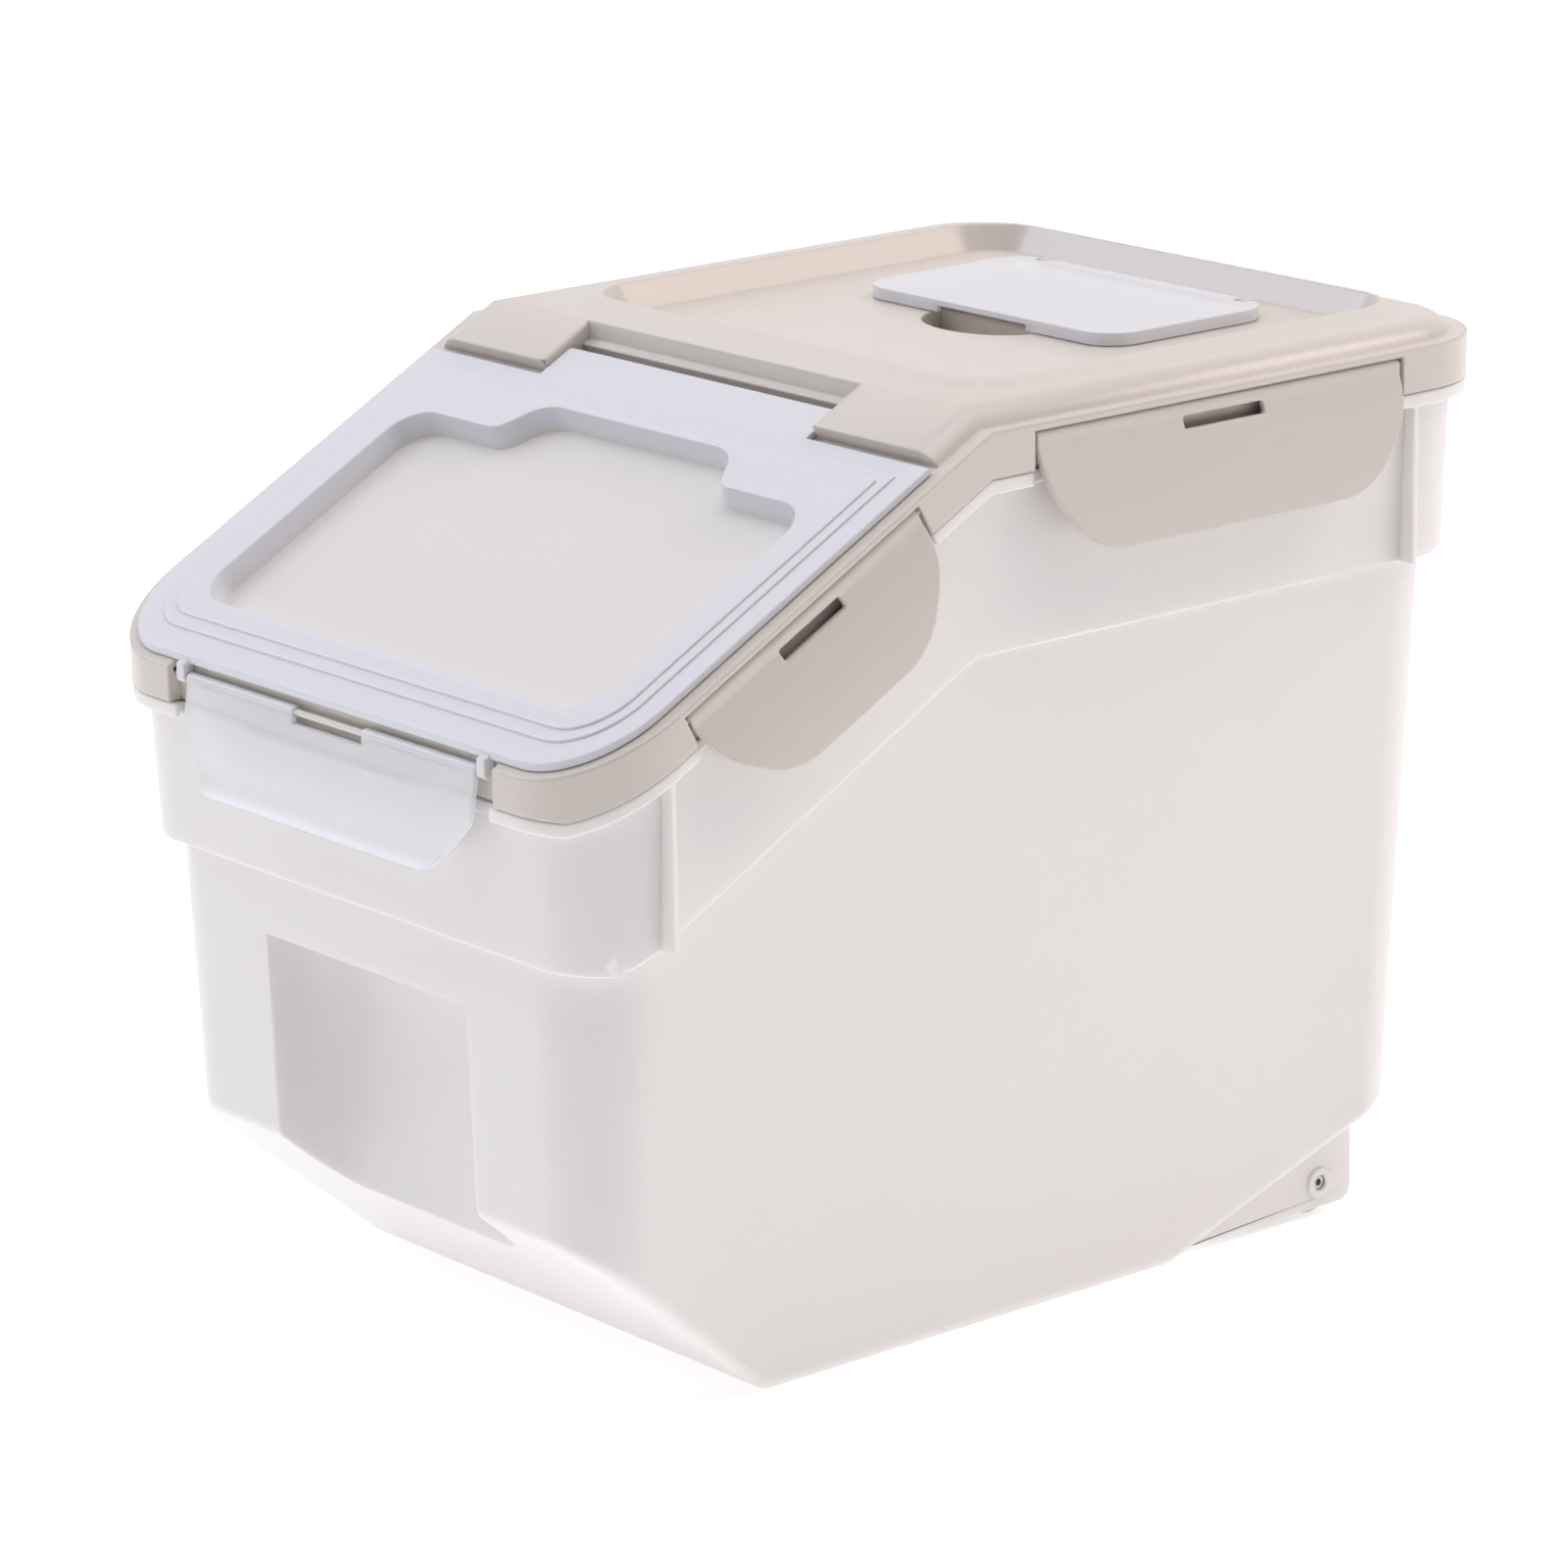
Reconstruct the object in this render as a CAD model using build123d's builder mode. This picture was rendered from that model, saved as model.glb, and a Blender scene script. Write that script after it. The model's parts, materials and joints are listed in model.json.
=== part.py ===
from build123d import *
import os
from math import cos, hypot, radians, sin, tan

# Rice bin with a flip lid. Millimetres, +Z up, front at -Y, right-hand side at +X.
# The origin is the middle of the footprint, on the floor.

# ---------------------------------------------------------------- driving sizes
# Rim: the line where the beige lid frame sits on the white tub. It is level over the
# rear half, falls along a slope from the knee, and is level again along the front.
rim_width = 250.0
rim_length = 370.0
rim_corner = 34.0
rim_rear_z = 273.2
rim_drop = 79.2
knee_run = 153.0
slope_angle = 28.2
reach = 450.0  # half size of cutting slabs, larger than the bin

# Tub: a drafted body, with a wider collar below the rim
tub_wall = 2.8
tub_floor = 3.0
draft_base_z = -10.0  # level of the lower section that sets the draft
foot_side_margin = 25.6
foot_front_margin = 15.3
foot_rear_margin = 21.9
foot_corner = 18.6
body_side_margin = 8.1
body_front_margin = 6.4
body_rear_margin = 9.4
body_corner_margin = 2.0
foot_front_run = 82.8
foot_rear_run = 120.9
front_chamfer_slope = 0.862
rear_chamfer_slope = 0.360
foot_round = 9.0
under_edge_round = 5.0
collar_depth = 55.0
collar_front_depth = 47.5
collar_inset = 5.2
collar_foot_inset = 7.6
flange_inset = 0.4
flange_plate = 2.4
flange_depth = 4.4
flange_lip = 1.9
catch_inset = 3.8
upstand_inset = 6.3
upstand_thick = 1.7
upstand_height = 6.0
gusset_thick = 2.2
gusset_inset = 1.6
front_gusset_run = 32.5
rear_gusset_run = 40.5
grip_width = 100.0
grip_depth = 35.0
grip_top_z = 125.0
grip_corner = 16.0

# Wheels, on axles between two cheeks under the rear
wheel_radius = 11.3
wheel_width = 12.0
wheel_side_gap = 0.6
wheel_edge_bevel = 1.2
wheel_run = 53.5
wheel_side_margin = 6.6
cheek_thick = 2.6
cheek_bottom_z = 2.6
cheek_run = 39.0
cheek_corner = 5.0
axle_radius = 2.5
axle_boss_radius = 5.0
axle_boss_height = 1.0
axle_dimple_radius = 1.1
axle_dimple_depth = 2.0
axle_running_gap = 0.08

# Lid frame
frame_wall = 2.2
frame_seat_gap = 0.3
band_height = 14.5
guide_inset = 4.5
guide_wall = 1.4
seal_rib_inset = 9.8
seal_rib = 1.7
seal_rib_rise = 3.0
plate_rise = 20.0
plate_inset = 4.5
plate_edge_round = 10.0
ear_width = 60.0
ear_front_run = 9.0
ear_edge_round = 1.4
crest_rise = 2.2
crest_side_margin = 27.0
crest_front_run = 19.0
crest_rear_margin = 18.0
crest_corner = 21.0
crest_width = 1.2
crest_side_run = 9.0
crest_rear_run = 3.4
tray_drop = 6.2
tray_wall_lean = 5.5
opening_side_margin = 23.8
opening_back_run = 20.5
opening_front_run = 143.5
opening_corner = 14.0
trough_gap = 3.0
trough_wall = 1.8
pin_boss_radius = 3.4

# Lid seal, in the channel between the guide wall and the seal rib
seal_side_gap = 0.1
seal_lift = 0.3

# Flip lid, worked in its own sloping frame: "run" is measured down the slope from the
# hinge axis, "rise" is measured square to the slope.
hinge_run = 8.0
flap_barrel_radius = 3.5
flap_thick = 2.2
flap_gap = 0.3
flap_side_inset = 4.8
flap_front_inset = 2.5
flap_corner = 29.0
flap_barrel_gap = 0.6
flap_back_gap = 3.2
first_step_inset = 8.0
second_step_inset = 12.0
step_rise = 0.7
step_back_run = 19.0
panel_side_margin = 30.0
panel_bump_half = 44.0
panel_bump_foot = 53.0
panel_back_run = 42.4
panel_bump_run = 27.6
panel_front_run = 135.4
panel_depth = 6.0
panel_corner = 11.0
panel_bump_round = 9.0
panel_draft = 2.2
flap_seal_gap = 0.15
flap_seal_thick = 2.6
flap_seal_depth = 3.0
hinge_pin_radius = 1.5
hinge_pin_length = 24.0
hinge_pin_bite = 11.0
hinge_running_gap = 0.06

# Latches: five of one family, with a barrel on a rod and a curved finger plate
latch_rod_radius = 1.0
latch_running_gap = 0.06
latch_barrel_radius = 1.9
latch_axis_inset = 2.25
latch_barrel_gap = 0.5
latch_plate = 1.9
latch_end_gap = 1.2
latch_crease = 3.0
latch_nose_gap = 0.3
latch_nose_thick = 3.0
latch_nose_margin = 14.0
latch_corner = 26.0
latch_upper_corner = 28.0
lug_thick = 4.0
rod_bite = 2.6
side_flare = 6.8
side_belly = 4.6
window_drop = 2.2
window_height = 4.0
rear_latch_length = 150.0
rear_latch_height = 38.5
rear_latch_margin = 49.0
rear_latch_taper = 18.0
rear_window_width = 33.0
slope_latch_length = 98.0
slope_latch_height = 36.0
slope_latch_run = 67.5
slope_latch_taper = 20.0
slope_window_width = 26.0
side_straight_share = 0.42
front_latch_length = 144.0
front_latch_height = 34.0
front_latch_rise = 9.2
front_latch_taper = 16.0
front_latch_corner = 6.0
front_flare = 4.2
front_belly = 2.4
front_window_width = 34.6
front_window_drop = 3.2
front_straight_share = 0.52
front_pocket_gap = 3.8
front_pocket_wall = 1.8
front_lug_gap = 1.2
front_lug_thick = 4.0
catch_bead_half = 42.0
catch_bead_reach = 1.4
catch_bead_rise = 2.3
catch_bead_height = 2.0
front_catch_hold = 0.5
front_catch_play = 1.1
front_nose_thick = 2.4

# Repellent box under the tray, with its cap
box_half_width = 52.0
box_length = 52.0
box_rear_margin = 50.0
box_corner = 5.0
box_depth = 24.0
box_wall = 1.6
box_flange = 2.6
box_flange_thick = 1.0
box_fit_gap = 0.3
vent_count = 9
vent_width = 3.0
vent_length = 34.0
vent_pitch = 10.0
cap_half_width = 60.0
cap_length = 71.0
cap_drop = 1.7
cap_plate = 2.0
cap_skirt = 1.8
cap_corner = 12.0
cap_barrel_radius = 2.0
cap_axis_margin = 40.0
cap_floor_gap = 0.4
cap_pin_radius = 1.0
cap_pin_gap = 0.06
cap_ear_inner_x = 44.5
cap_ear_thick = 5.0
cap_ear_gap = 0.4
cap_notch_half = 21.0
thumb_half_width = 24.0
thumb_setback = 2.0
thumb_reach = 17.0
thumb_depth = 5.5
thumb_margin = 2.0

# ---------------------------------------------------------------- worked-out places
slope = tan(radians(slope_angle))
slope_cos = cos(radians(slope_angle))
slope_sin = sin(radians(slope_angle))
half_rim_width = rim_width / 2
half_rim_length = rim_length / 2
rim_front_z = rim_rear_z - rim_drop
knee_y = knee_run - half_rim_length
hinge_y = knee_y - hinge_run
foot_half_width = half_rim_width - foot_side_margin
foot_level_front_y = foot_front_margin - half_rim_length
foot_level_rear_y = half_rim_length - foot_rear_margin
foot_front_y = foot_front_run - half_rim_length
foot_rear_y = half_rim_length - foot_rear_run
body_rim_half_width = half_rim_width - body_side_margin
body_rim_front_y = body_front_margin - half_rim_length
body_rim_rear_y = half_rim_length - body_rear_margin
body_rim_corner = rim_corner - body_corner_margin
collar_front_z = rim_front_z - collar_front_depth
front_gusset_y = front_gusset_run - half_rim_length
rear_gusset_y = half_rim_length - rear_gusset_run
grip_back_y = grip_depth - half_rim_length
wheel_outer_x = foot_half_width - wheel_side_margin
wheel_y = half_rim_length - wheel_run
cheek_rear_y = half_rim_length - cheek_run
plate_top_z = rim_rear_z + plate_rise
ear_inner_x = half_rim_width - ear_width
crest_half_width = half_rim_width - crest_side_margin
crest_front_y = knee_y + crest_front_run
crest_rear_y = half_rim_length - crest_rear_margin
tray_floor_z = plate_top_z - tray_drop
opening_half_width = half_rim_width - opening_side_margin
panel_half_width = half_rim_width - panel_side_margin
rear_latch_y = half_rim_length - rear_latch_margin - rear_latch_length / 2
slope_latch_y = knee_y - slope_latch_run
front_latch_axis_z = rim_front_z + front_latch_rise
catch_bead_z = rim_front_z + catch_bead_rise
box_rear_y = half_rim_length - box_rear_margin
box_front_y = box_rear_y - box_length
cap_axis_y = half_rim_length - cap_axis_margin
cap_front_y = cap_axis_y - cap_length
cap_top_z = plate_top_z - cap_drop
thumb_middle_y = cap_front_y + thumb_setback
front_pocket_half = front_latch_length / 2 + front_lug_gap + front_lug_thick + front_pocket_gap
web_rise = band_height - frame_wall
ledge_front_z = rim_front_z + frame_wall
flap_top_rise = band_height + (flap_gap + flap_thick) / slope_cos
hinge_z = rim_rear_z + flap_top_rise + (hinge_y - knee_y) * slope - flap_barrel_radius / slope_cos
slope_frame = Plane(
    origin=(0, hinge_y, hinge_z), x_dir=(1, 0, 0), z_dir=(0, -slope_sin, slope_cos)
)
flap_under = flap_barrel_radius - flap_thick
ledge_square = flap_under - flap_gap
seal_rib_inner = seal_rib_inset + seal_rib
crest_z = plate_top_z + crest_rise


def line_y(rise, front_z):
    """Where the slope, raised by `rise`, comes down to the level `front_z`."""
    return knee_y - (rim_rear_z + rise - front_z) / slope


def rim_profile(rise, front_z):
    """The rim line raised by `rise`, from the rear to the front, level at `front_z`."""
    return [
        (reach, rim_rear_z + rise),
        (knee_y, rim_rear_z + rise),
        (line_y(rise, front_z), front_z),
        (-reach, front_z),
    ]


def side_slab(points, mode):
    """A side-view outline (Y, Z) pushed out to both sides."""
    with BuildSketch(Plane.YZ) as side:
        with BuildLine():
            Polyline(*points, close=True)
        make_face()
    extrude(side.sketch, amount=reach, both=True, mode=mode)


def between(low_rise, low_front_z, high_rise, high_front_z):
    """Keep what lies between two lines that both follow the rim."""
    low = rim_profile(low_rise, low_front_z)
    high = rim_profile(high_rise, high_front_z)
    side_slab(low + list(reversed(high)), Mode.INTERSECT)


def rim_outline(inset):
    """The plan outline of the rim, drawn in by `inset`."""
    RectangleRounded(rim_width - 2 * inset, rim_length - 2 * inset, rim_corner - inset)


def outline_from(half_width, front_y, rear_y, corner):
    """A rounded plan outline given by its front and rear edges."""
    with Locations((0, (front_y + rear_y) / 2)):
        RectangleRounded(2 * half_width, rear_y - front_y, corner)


def rim_ring(outer_inset, inner_inset, low, high):
    """An upright ring that follows the rim, from one (rise, front level) to another."""
    with BuildPart(mode=Mode.PRIVATE) as ring:
        with BuildSketch(Plane.XY):
            rim_outline(outer_inset)
            with BuildSketch(mode=Mode.SUBTRACT):
                rim_outline(inner_inset)
        extrude(amount=reach)
        between(*low, *high)
    return ring.part


def tub_body(inset):
    """The drafted body of the tub, drawn in by `inset` on every side."""
    with BuildPart(mode=Mode.PRIVATE) as body:
        with BuildSketch(Plane.XY.offset(draft_base_z)):
            outline_from(
                foot_half_width - inset,
                foot_level_front_y + inset,
                foot_level_rear_y - inset,
                foot_corner - inset,
            )
        with BuildSketch(Plane.XY.offset(rim_rear_z)):
            outline_from(
                body_rim_half_width - inset,
                body_rim_front_y + inset,
                body_rim_rear_y - inset,
                body_rim_corner - inset,
            )
        loft(ruled=True)
    return body.part


def leaning_section(plane, inset):
    """The face where an upright prism over the rim outline meets a plane."""
    with BuildPart(mode=Mode.PRIVATE) as prism:
        with BuildSketch(Plane.XY):
            rim_outline(inset)
        extrude(amount=reach)
        split(bisect_by=plane, keep=Keep.BOTTOM)
    return prism.faces().filter_by(Axis((0, 0, 0), plane.z_dir)).sort_by(Axis.Z)[-1]


def collar_body(inset):
    """The wider band under the rim. Its draft follows the rim, also down the slope."""
    with BuildPart(mode=Mode.PRIVATE) as body:
        for lean, kept in ((0.0, Keep.BOTTOM), (slope_angle, Keep.TOP)):
            normal = (0, -sin(radians(lean)), cos(radians(lean)))
            faces = []
            for rise, at_inset in ((-collar_depth, collar_foot_inset), (0.0, collar_inset)):
                level = Plane(origin=(0, knee_y, rim_rear_z + rise), x_dir=(1, 0, 0), z_dir=normal)
                faces.append(leaning_section(level, at_inset + inset))
            with BuildPart(mode=Mode.PRIVATE) as zone:
                loft(faces, ruled=True)
                split(bisect_by=Plane.XZ.offset(-knee_y), keep=kept)
            add(zone.part)
    return body.part


def round_under_edge(body, radius):
    """Round the edge all round the underside, where the mould's floor meets its walls."""
    under = body.faces().filter_by(lambda face: face.normal_at().Z < -0.5)
    rim = [
        edge
        for edge in under.edges()
        if sum(edge.is_same(other) for face in under for other in face.edges()) == 1
    ]
    fillet(rim, radius)


def above_foot(lift, rounding):
    """Keep what lies above the underside: a flat foot between two rising ends."""
    front_square = lift * hypot(1, front_chamfer_slope)
    rear_square = lift * hypot(1, rear_chamfer_slope)
    front_knee = foot_front_y - (lift - front_square) / front_chamfer_slope
    rear_knee = foot_rear_y + (lift - rear_square) / rear_chamfer_slope
    with BuildSketch(Plane.YZ) as side:
        with BuildLine():
            Polyline(
                (-reach, (foot_front_y + reach) * front_chamfer_slope + front_square),
                (front_knee, lift),
                (rear_knee, lift),
                (reach, (reach - foot_rear_y) * rear_chamfer_slope + rear_square),
                (reach, 2 * reach),
                (-reach, 2 * reach),
                close=True,
            )
        make_face()
        fillet(side.vertices().group_by(Axis.Y)[0], rounding)
    extrude(side.sketch, amount=reach, both=True, mode=Mode.INTERSECT)


# ---------------------------------------------------------------- latch frames
# Each latch has a frame on its rod: x along the rod, y up the band, z outwards.
square_web_rise = web_rise * slope_cos
rear_axis_rise = web_rise - latch_barrel_gap - latch_barrel_radius
slope_axis_rise = square_web_rise - latch_barrel_gap - latch_barrel_radius
latch_axis_x = half_rim_width - latch_axis_inset
slope_foot_z = rim_rear_z + (slope_latch_y - knee_y) * slope


def side_frame(side, axis_y, axis_z, tilt):
    """Frame of a side latch: side is +1 right or -1 left, tilt in degrees."""
    along = (0, side * cos(radians(tilt)), side * sin(radians(tilt)))
    return Plane(origin=(side * latch_axis_x, axis_y, axis_z), x_dir=along, z_dir=(side, 0, 0))


front_latch_frame = Plane(
    origin=(0, -half_rim_length + latch_axis_inset, front_latch_axis_z),
    x_dir=(1, 0, 0),
    z_dir=(0, -1, 0),
)
side_latches = {}
for side_name, side_sign in (("right", 1), ("left", -1)):
    side_latches[side_name + "_rear"] = dict(
        frame=side_frame(side_sign, rear_latch_y, rim_rear_z + rear_axis_rise, 0.0),
        length=rear_latch_length,
        height=rear_latch_height,
        taper=rear_latch_taper,
        window=rear_window_width,
        axis_rise=rear_axis_rise,
        flange=flange_depth,
    )
    side_latches[side_name + "_front"] = dict(
        frame=side_frame(
            side_sign,
            slope_latch_y - slope_axis_rise * slope_sin,
            slope_foot_z + slope_axis_rise * slope_cos,
            slope_angle,
        ),
        length=slope_latch_length,
        height=slope_latch_height,
        taper=slope_latch_taper,
        window=slope_window_width,
        axis_rise=slope_axis_rise,
        flange=flange_depth * slope_cos,
    )


def box_between(frame, x_range, y_range, z_range, mode):
    """A box given by its ranges in a frame."""
    ranges = (x_range, y_range, z_range)
    size = [high - low for low, high in ranges]
    middle = tuple((low + high) / 2 for low, high in ranges)
    with Locations(frame):
        with Locations(middle):
            Box(*size, mode=mode)


def bar_between(frame, start, end, radius, mode):
    """A round bar on the x axis of a frame."""
    with Locations(frame):
        with Locations(((start + end) / 2, 0, 0)):
            Cylinder(radius, end - start, rotation=(0, 90, 0), mode=mode)


# ---------------------------------------------------------------- tub
wheel_inner_x = wheel_outer_x - wheel_width


def grip_block(grow):
    """The hand recess under the front, grown by `grow` for the wall behind it."""
    front = -rim_length
    with BuildPart(mode=Mode.PRIVATE) as block:
        with BuildSketch(Plane.XY):
            outline_from(grip_width / 2 + grow, front, grip_back_y + grow, grip_corner + grow)
        extrude(amount=grip_top_z + grow)
    return block.part


def cheek(inner_x):
    """A wheel cheek: a plate under the rising rear of the tub."""
    with BuildSketch(Plane.YZ.offset(inner_x)) as outline:
        with BuildLine():
            front_y = foot_rear_y + cheek_bottom_z / rear_chamfer_slope
            rise_z = (cheek_rear_y - foot_rear_y) * rear_chamfer_slope
            Polyline(
                (front_y, cheek_bottom_z),
                (cheek_rear_y, cheek_bottom_z),
                (cheek_rear_y, rise_z + tub_floor / 2),
                (front_y, cheek_bottom_z + tub_floor / 2),
                close=True,
            )
        make_face()
        fillet(outline.vertices().sort_by(Axis.X)[-2:].sort_by(Axis.Y)[0], cheek_corner)
    extrude(outline.sketch, amount=cheek_thick)


with BuildPart() as tub:
    add(tub_body(0.0))
    above_foot(0.0, foot_round)
    round_under_edge(tub, under_edge_round)
    between(-rim_rear_z, rim_front_z - rim_rear_z, 0.0, rim_front_z)
    with BuildPart(mode=Mode.PRIVATE) as collar:
        add(collar_body(0.0))
        between(-collar_depth, collar_front_z, 0.0, rim_front_z)
    add(collar.part)
    # flange under the lid frame, with a lip that turns down and a catch ledge behind it
    flange_wide = collar_inset + tub_wall / 2
    add(
        rim_ring(
            flange_inset, flange_wide, (-flange_plate, rim_front_z - flange_plate), (0, rim_front_z)
        )
    )
    lip_low = (-flange_depth, rim_front_z - flange_depth)
    add(rim_ring(flange_inset, flange_inset + flange_lip, lip_low, (0, rim_front_z)))
    add(rim_ring(catch_inset, flange_wide, lip_low, (0, rim_front_z)))
    # gussets that guard the ends of the side latches
    gusset_outer = half_rim_width - gusset_inset
    gusset_inner = body_rim_half_width - tub_wall
    with BuildPart(mode=Mode.PRIVATE) as gussets:
        for side in (1, -1):
            for gusset_y in (front_gusset_y, rear_gusset_y):
                with Locations((side * (gusset_outer + gusset_inner) / 2, gusset_y, reach / 2)):
                    Box(gusset_outer - gusset_inner, gusset_thick, reach)
        between(-collar_depth, collar_front_z, 0.0, rim_front_z)
    add(gussets.part)
    # notches in the lip where the latches pass
    for latch in side_latches.values():
        half = latch["length"] / 2 + latch_end_gap
        box_between(
            latch["frame"],
            (-half, half),
            (-latch["axis_rise"] - flange_depth - tub_wall, -latch["axis_rise"] + tub_wall),
            (latch_axis_inset - catch_inset, latch_axis_inset + tub_wall),
            Mode.SUBTRACT,
        )
    front_notch_half = front_latch_length / 2 + front_lug_gap + front_lug_thick + latch_end_gap
    front_rim_drop = front_latch_axis_z - rim_front_z
    box_between(
        front_latch_frame,
        (-front_notch_half, front_notch_half),
        (-front_rim_drop - flange_depth - tub_wall, -front_rim_drop + tub_wall),
        (latch_axis_inset - guide_inset, latch_axis_inset + tub_wall),
        Mode.SUBTRACT,
    )
    # the hand recess, and the cheeks of the wheels
    add(grip_block(0.0), mode=Mode.SUBTRACT)
    # hollow of the bin, with the wall kept round the hand recess
    with BuildPart(mode=Mode.PRIVATE) as hollow:
        add(collar_body(tub_wall))
        between(tub_wall - collar_depth, collar_front_z + tub_wall, 0.0, rim_front_z)
        add(tub_body(tub_wall))
        above_foot(tub_floor, foot_round)
        add(grip_block(tub_wall), mode=Mode.SUBTRACT)
    add(hollow.part, mode=Mode.SUBTRACT)
    # sealing upstand on the flange
    add(
        rim_ring(
            upstand_inset,
            upstand_inset + upstand_thick,
            (-flange_plate / 2, rim_front_z - flange_plate / 2),
            (upstand_height, rim_front_z + upstand_height),
        )
    )
    # cheeks and axle holes for the two wheels
    for inner_x in (wheel_outer_x + wheel_side_gap, wheel_inner_x - wheel_side_gap - cheek_thick):
        for face_x in (inner_x, -inner_x - cheek_thick):
            cheek(face_x)
    boss_x = wheel_outer_x + wheel_side_gap + cheek_thick
    for side in (1, -1):
        wheel_frame = Plane(
            origin=(0, wheel_y, wheel_radius), x_dir=(side, 0, 0), z_dir=(0, 0, 1)
        )
        bar_between(wheel_frame, boss_x, boss_x + axle_boss_height, axle_boss_radius, Mode.ADD)
        bar_between(wheel_frame, wheel_inner_x - cheek_thick * 2, reach, axle_radius, Mode.SUBTRACT)


# ---------------------------------------------------------------- wheels and axles
wheels = {}
axles = {}
for side_name, side_sign in (("right", 1), ("left", -1)):
    middle_x = side_sign * (wheel_outer_x - wheel_width / 2)
    wheel_plane = Plane(origin=(middle_x, wheel_y, wheel_radius), z_dir=(side_sign, 0, 0))
    with BuildPart() as wheel:
        with BuildSketch(wheel_plane):
            Circle(wheel_radius)
        extrude(amount=wheel_width / 2, both=True)
        chamfer(wheel.edges().filter_by(GeomType.CIRCLE), wheel_edge_bevel)
        with BuildSketch(wheel_plane):
            Circle(axle_radius + axle_running_gap)
        extrude(amount=wheel_width, both=True, mode=Mode.SUBTRACT)
    wheels["wheel_" + side_name] = wheel
    axle_inner = wheel_inner_x - wheel_side_gap - cheek_thick
    with BuildPart() as axle:
        with BuildSketch(wheel_plane.offset(axle_inner - wheel_outer_x + wheel_width / 2)):
            Circle(axle_radius)
        extrude(amount=boss_x - axle_inner)
        outer_end = axle.faces().sort_by(Axis((0, 0, 0), (side_sign, 0, 0)))[-1]
        with BuildSketch(outer_end):
            Circle(axle_dimple_radius)
        extrude(amount=-axle_dimple_depth, mode=Mode.SUBTRACT)
    axles["wheel_axle_" + side_name] = axle


# ---------------------------------------------------------------- lid frame
def raised_plate(inset, drop, edge):
    """Raised rear of the lid with round shoulders, and two ears that run down the slope."""
    top_z = plate_top_z - drop
    low_z = rim_rear_z
    ear_inner = ear_inner_x + drop
    with BuildPart(mode=Mode.PRIVATE) as plate:
        with BuildSketch(Plane.XY.offset(low_z)):
            rim_outline(plate_inset + inset)
        extrude(amount=top_z - low_z)
        fillet(plate.faces().sort_by(Axis.Z)[-1].edges(), edge)
        split(bisect_by=Plane.XZ.offset(-knee_y), keep=Keep.BOTTOM)
        box_between(
            Plane.XY, (-ear_inner, ear_inner), (-reach, knee_y + drop), (0, reach), Mode.SUBTRACT
        )
        with BuildPart(mode=Mode.PRIVATE) as ears:
            with BuildSketch(Plane.XZ.offset(-knee_y)) as shoulder:
                outer = half_rim_width - plate_inset - inset
                with BuildLine():
                    Polyline(
                        (ear_inner, low_z), (ear_inner, top_z), (outer, top_z), (outer, low_z), close=True
                    )
                make_face()
                fillet(shoulder.vertices().sort_by(Axis.X)[-2:].sort_by(Axis.Y)[-1], edge)
                fillet(shoulder.vertices().sort_by(Axis.X)[:2].sort_by(Axis.Y)[-1], ear_edge_round)
            extrude(amount=rim_length / 4, dir=(0, -slope_cos, -slope_sin))
            box_between(
                slope_frame,
                (-reach, reach),
                (-reach, drop - ear_front_run),
                (-reach, reach),
                Mode.SUBTRACT,
            )
            mirror(about=Plane.YZ)
        add(ears.part)
    return plate.part


def crest(grow, low_z, high_z):
    """The gentle rise from the plate to the rim of the tray."""
    with BuildPart(mode=Mode.PRIVATE) as rise:
        with BuildSketch(Plane.XY.offset(low_z)):
            outline_from(
                crest_half_width + grow,
                crest_front_y - grow,
                crest_rear_y + min(grow, crest_rear_run),
                crest_corner + grow,
            )
        with BuildSketch(Plane.XY.offset(high_z)):
            outline_from(crest_half_width, crest_front_y, crest_rear_y, crest_corner)
        loft(ruled=True)
    return rise.part


def tray(grow):
    """The sunken tray in the lid, grown by `grow` for the wall under it."""
    top_inset = crest_width - grow
    low_inset = crest_width + tray_wall_lean - grow
    with BuildPart(mode=Mode.PRIVATE) as block:
        for level, inset in ((tray_floor_z - grow, low_inset), (crest_z, top_inset)):
            with BuildSketch(Plane.XY.offset(level)):
                outline_from(
                    crest_half_width - inset,
                    crest_front_y + inset,
                    crest_rear_y - inset,
                    crest_corner - inset,
                )
        loft(ruled=True)
    return block.part


def thumb_dip(grow):
    """The half-round dip in front of the cap, grown by `grow` for its wall."""
    with BuildPart(mode=Mode.PRIVATE) as dip:
        with BuildSketch(Plane.XY.offset(tray_floor_z - thumb_depth - grow)):
            with Locations((0, thumb_middle_y)):
                Ellipse(thumb_half_width + grow, thumb_reach + grow)
            rear_y = box_front_y - box_fit_gap - box_flange - thumb_margin + grow
            with Locations((0, rear_y + reach / 2)):
                Rectangle(reach, reach, mode=Mode.SUBTRACT)
        extrude(amount=thumb_depth + 2 * grow)
    return dip.part


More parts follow.
